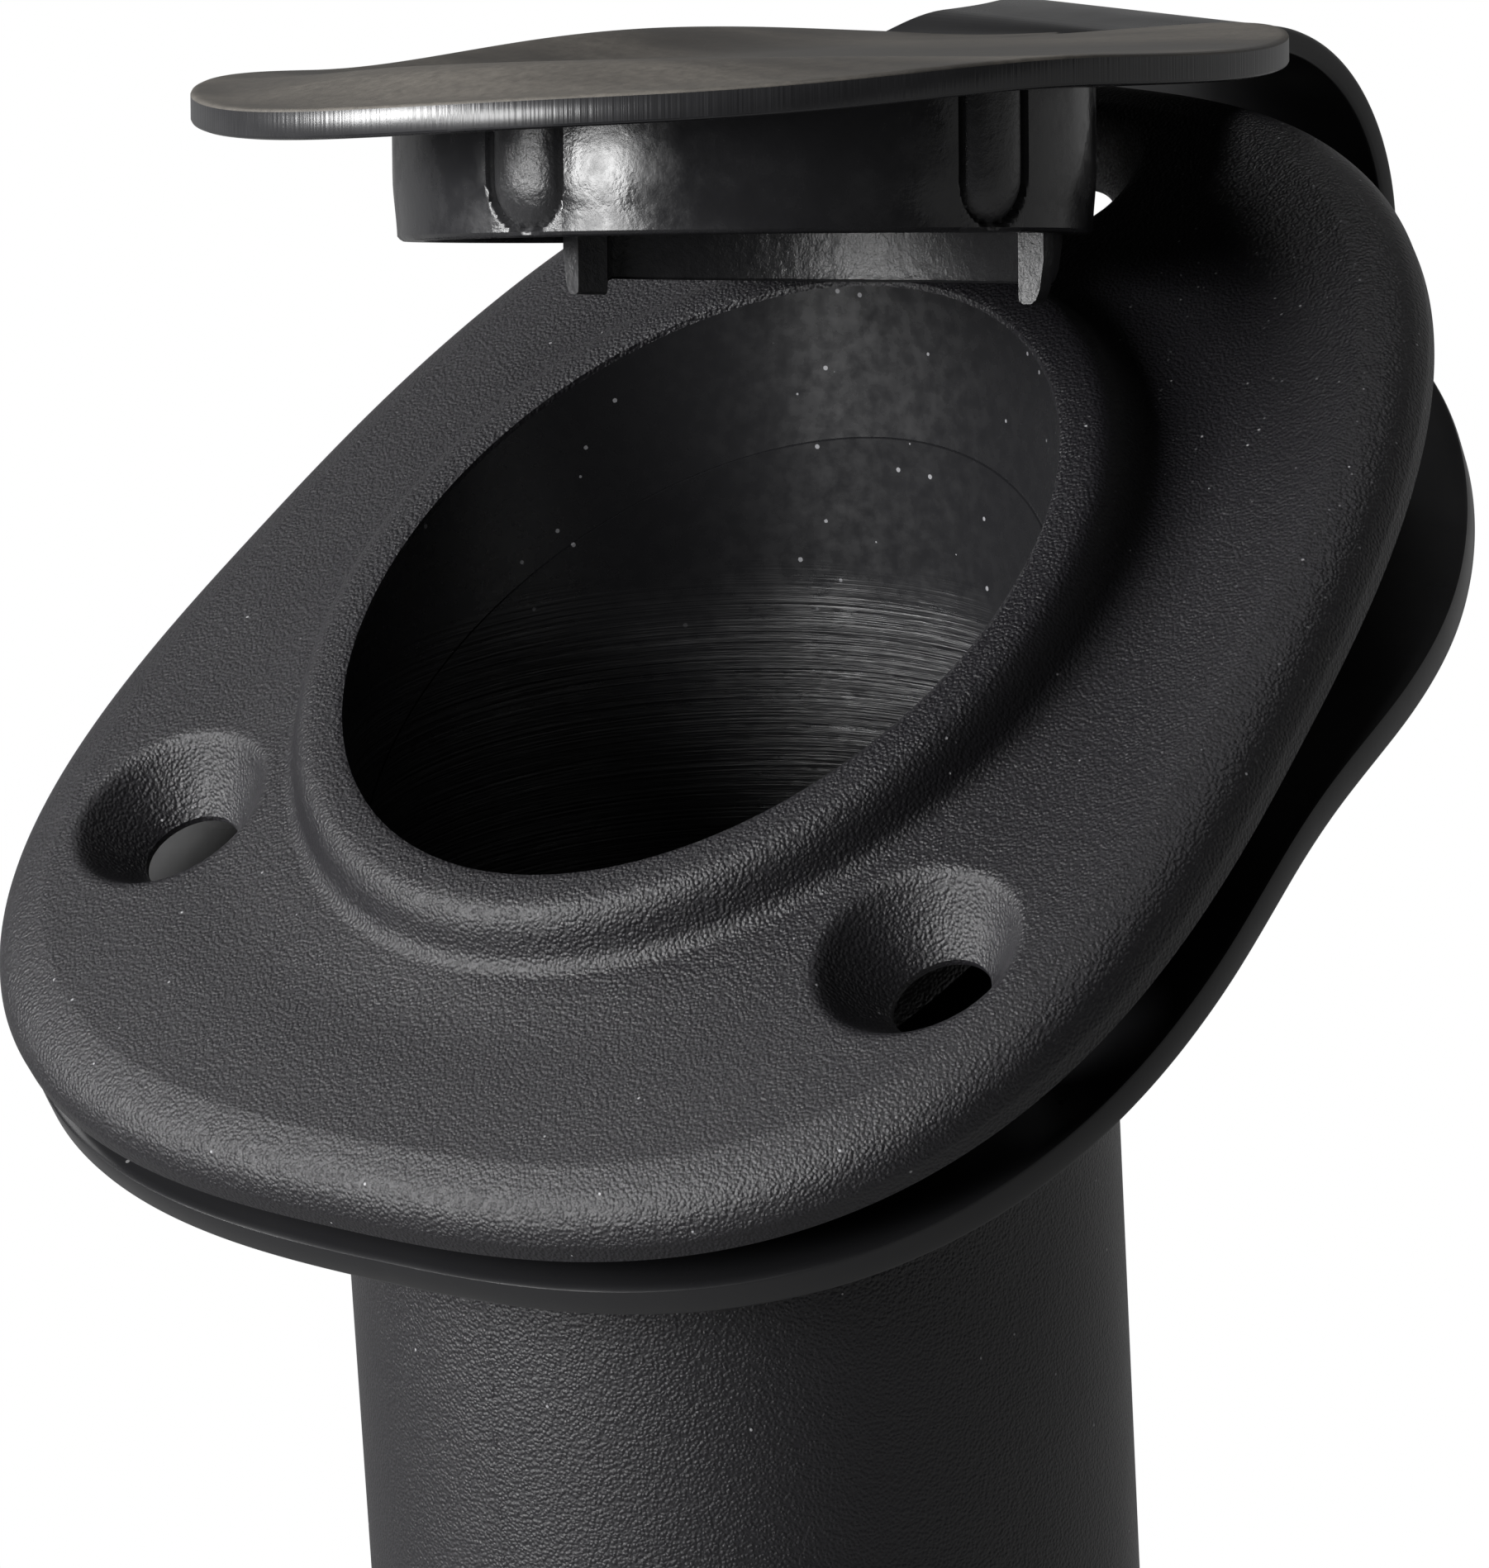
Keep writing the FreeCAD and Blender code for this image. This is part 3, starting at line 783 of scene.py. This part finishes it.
def plate_wave(points):
    """How far the soft plate rises or droops out of flat: its front hangs and its left side lifts."""
    x = points[:, 0] - CAP_X
    y = points[:, 1]
    outside = smooth_step((np.hypot(x, y) - 23.0) / 11.4)
    turn = np.degrees(np.arctan2(y, x)) % 360.0
    droop = FRONT_DROOP * np.exp(-((turn - 183.0) / 50.0) ** 2)
    droop -= LEFT_RISE * np.exp(-((turn - 68.0) / 42.0) ** 2)
    ripple = 0.25 * np.sin(np.radians(turn * 5.0 + 40.0))
    return rear_rise(points[:, 0]) - outside * (droop + ripple)


def build_cap_plate():
    angles = np.linspace(0, 2 * math.pi, 360, endpoint=False)
    shares = list(np.linspace(0.02, 0.985, 40)) + [0.993, 0.998, 1.0]
    dips = [0.0] * 40 + [0.03, 0.1, 0.22]
    rings = []
    for share, dip in zip(shares, dips):
        flat = cap_outline(angles, share)
        rings.append(level(flat, CAP_SEAT_Z + CAP_THICK - dip + plate_wave(flat)))
    for share, dip in zip(reversed(shares), reversed(dips)):
        flat = cap_outline(angles, share)
        rings.append(level(flat, CAP_SEAT_Z + dip + plate_wave(flat)))
    top = len(shares)
    slots = [0] * (top - 1) + [1] + [2] * (top - 1)
    piece = loft("cap_plate_sheet", rings, [DUSTY, CUT_EDGE, GLOSSY], hoop=False, slots=slots)
    turn = piece.data.attributes.new("turn", "FLOAT", "POINT")
    turn.data.foreach_set("value", np.tile(angles, 2 * top).astype(np.float32))
    carry_to_rest(piece, "cap")
    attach(piece, "cap")
    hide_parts("cap_plate")


def plug_rings():
    """The plug's wall with its half-round lugs. Its top follows the soft plate."""
    angles = np.linspace(0, 2 * math.pi, 900, endpoint=False)
    foot = CAP_SEAT_Z - PLUG_DEPTH
    top = CAP_SEAT_Z + 0.4
    inner_r = PLUG_R - PLUG_WALL
    heights = [top, top - 0.8]
    heights += list(np.linspace(top - 1.2, foot + 3.4, 6))
    heights += list(np.linspace(foot + 3.1, foot + 0.3, 12))
    profile = [(PLUG_R - 0.25 * smooth_step((foot + 4.0 - z) / 4.0), z, True) for z in heights]
    profile += [(PLUG_R - 0.4, foot + 0.12, False), (PLUG_R - 0.6, foot, False)]
    profile += [(inner_r + 0.2, foot, False), (inner_r, foot + 0.2, False), (inner_r, top, False)]
    rings = []
    for radius, z, lugged in profile:
        around = radius + (lug_relief(angles, z - foot) if lugged else 0.0 * angles)
        flat = np.stack([CAP_X + around * np.cos(angles), around * np.sin(angles)], 1)
        lift = plate_wave(flat) * smooth_step((z - foot - 2.0) / (top - foot - 2.0))
        rings.append(level(flat, z + lift))
    return rings


def lug_relief(angles, above_foot):
    """How far the half-round lugs stand out of the plug's wall, each in a shallow channel."""
    relief = np.zeros(len(angles))
    low = max(0.0, (LUG_R + 0.5 - above_foot) / LUG_R)
    for middle in LUG_ANGLES:
        turn = np.abs((angles - math.radians(middle) + math.pi) % (2 * math.pi) - math.pi)
        side = turn * PLUG_R / LUG_R
        away = np.sqrt(side ** 2 + low ** 2)
        post = 1.15 * np.sqrt(np.clip(1 - away ** 2, 0.0, 1.0)) - 0.65
        channel = -0.65 * (1 - smooth_step((away - 1.0) / 0.12))
        relief = np.where(away < 1.0, post, np.where(away < 1.12, channel, relief))
    return relief


def build_plug():
    piece = loft("plug_wall", plug_rings(), [GLOSSY, ROUGH])
    for face in piece.data.polygons:
        middle = face.center / MM
        turn = math.degrees(math.atan2(middle.y, middle.x - CAP_X)) % 360.0
        on_lug = min(abs(turn - lug) for lug in LUG_ANGLES) < math.degrees(LUG_R / PLUG_R)
        if on_lug and math.hypot(middle.x - CAP_X, middle.y) > PLUG_R - 1.0:
            face.material_index = 1
    carry_to_rest(piece, "cap")
    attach(piece, "cap")
    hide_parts("cap_plug")


def build_hook():
    """The deeper part-round wall inside the plug, with a longer leg at each end."""
    outer, inner = HOOK_R, HOOK_R - HOOK_WALL
    rings = []
    for angle in np.linspace(-HOOK_HALF_ANGLE, HOOK_HALF_ANGLE, 129):
        turn = math.radians(angle)
        leg = smooth_step((abs(angle) - HOOK_HALF_ANGLE + 8.5) / 1.5)
        foot = CAP_SEAT_Z - HOOK_DEPTH + 0.3 - 1.0 * leg + angle / HOOK_HALF_ANGLE * 0.5
        top_z = CAP_SEAT_Z + 0.4 + float(rear_rise(CAP_X + inner * math.cos(turn)))
        thick = 0.7 * (1 - leg)
        hollow = inner + thick
        profile = [(outer, top_z), (outer, foot + 2.6), (outer - 0.25, foot + 0.9)]
        profile += [(outer - 0.5, foot + 0.25), (outer - 0.8, foot), (hollow + 0.3, foot)]
        profile += [(hollow + 0.05, foot + 0.15), (hollow, foot + 0.5), (hollow, top_z)]
        rings.append([(CAP_X + r * math.cos(turn), r * math.sin(turn), z) for r, z in profile])
    piece = loft("plug_hook", rings, [ROUGH], hoop=False)
    carry_to_rest(piece, "cap")
    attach(piece, "cap")


build_flange()
build_tube()
build_gasket()
build_strap()
build_cap_plate()
build_plug()
build_hook()


# ---------- floor, light and camera ----------

def floor_material():
    """White to the camera, and a dimmer light to everything else."""
    material = bpy.data.materials.new("pale_floor")
    material.use_nodes = True
    tree = material.node_tree
    tree.nodes.clear()
    seen = add(tree, "ShaderNodeLightPath").outputs["Is Camera Ray"]
    bright = add(tree, "ShaderNodeEmission", {"Color": (1, 1, 1, 1), "Strength": 1.0})
    soft = add(tree, "ShaderNodeEmission", {"Color": (0.8, 0.8, 0.8, 1), "Strength": 0.35})
    mixed = add(tree, "ShaderNodeMixShader", {0: seen, 1: soft.outputs[0], 2: bright.outputs[0]})
    add(tree, "ShaderNodeOutputMaterial", {"Surface": mixed.outputs[0]})
    return material


def build_floor():
    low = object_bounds()[0].z / MM - 1.0
    reach = 3000.0
    corners = [(-reach, -reach, low), (reach, -reach, low), (reach, reach, low), (-reach, reach, low)]
    floor = make_mesh("floor", corners, [(0, 1, 2, 3)], [floor_material()])


def area_light(name, place, size, power):
    """A soft square light that faces the flange, with its place in millimetres."""
    data = bpy.data.lights.new(name, "AREA")
    data.shape = "SQUARE"
    data.size = size * MM
    data.energy = power
    light = bpy.data.objects.new(name, data)
    light.location = Vector(place) * MM
    light.rotation_mode = "QUATERNION"
    light.rotation_quaternion = (Vector((0, 0, 0)) - light.location).to_track_quat("-Z", "Y")
    bpy.context.scene.collection.objects.link(light)


def build_world():
    world = bpy.data.worlds.new("studio")
    bpy.context.scene.world = world
    world.use_nodes = True
    tree = world.node_tree
    tree.nodes.clear()
    seen = add(tree, "ShaderNodeLightPath").outputs["Is Camera Ray"]
    soft = add(tree, "ShaderNodeBackground", {"Color": (1, 1, 1, 1), "Strength": 0.03})
    white = add(tree, "ShaderNodeBackground", {"Color": (1, 1, 1, 1), "Strength": 1.0})
    mixed = add(tree, "ShaderNodeMixShader", {0: seen, 1: soft.outputs[0], 2: white.outputs[0]})
    add(tree, "ShaderNodeOutputWorld", {"Surface": mixed.outputs[0]})


def build_camera():
    data = bpy.data.cameras.new("camera")
    data.sensor_width = 36.0
    data.lens = 212.9
    data.clip_start = 0.05
    data.clip_end = 20.0
    camera = bpy.data.objects.new("camera", data)
    right = Vector((0.50752, -0.78523, -0.35473))
    up = Vector((0.70526, 0.14206, 0.69457))
    back = Vector((-0.49501, -0.60268, 0.62589))
    turn = Matrix((right, up, back)).transposed().to_4x4()
    camera.matrix_world = Matrix.Translation((-0.28591, -0.34261, 0.34996)) @ turn
    bpy.context.scene.collection.objects.link(camera)
    bpy.context.scene.camera = camera


build_floor()
area_light("left_front", (-570, 130, 550), 260, 5.0)
area_light("key", (-400, 520, 560), 300, 11.0)
area_light("back_left", (260, 600, 400), 300, 0.8)
area_light("overhead", (430, -20, 640), 260, 1.4)
build_world()
build_camera()
bpy.context.scene.view_settings.view_transform = "Standard"

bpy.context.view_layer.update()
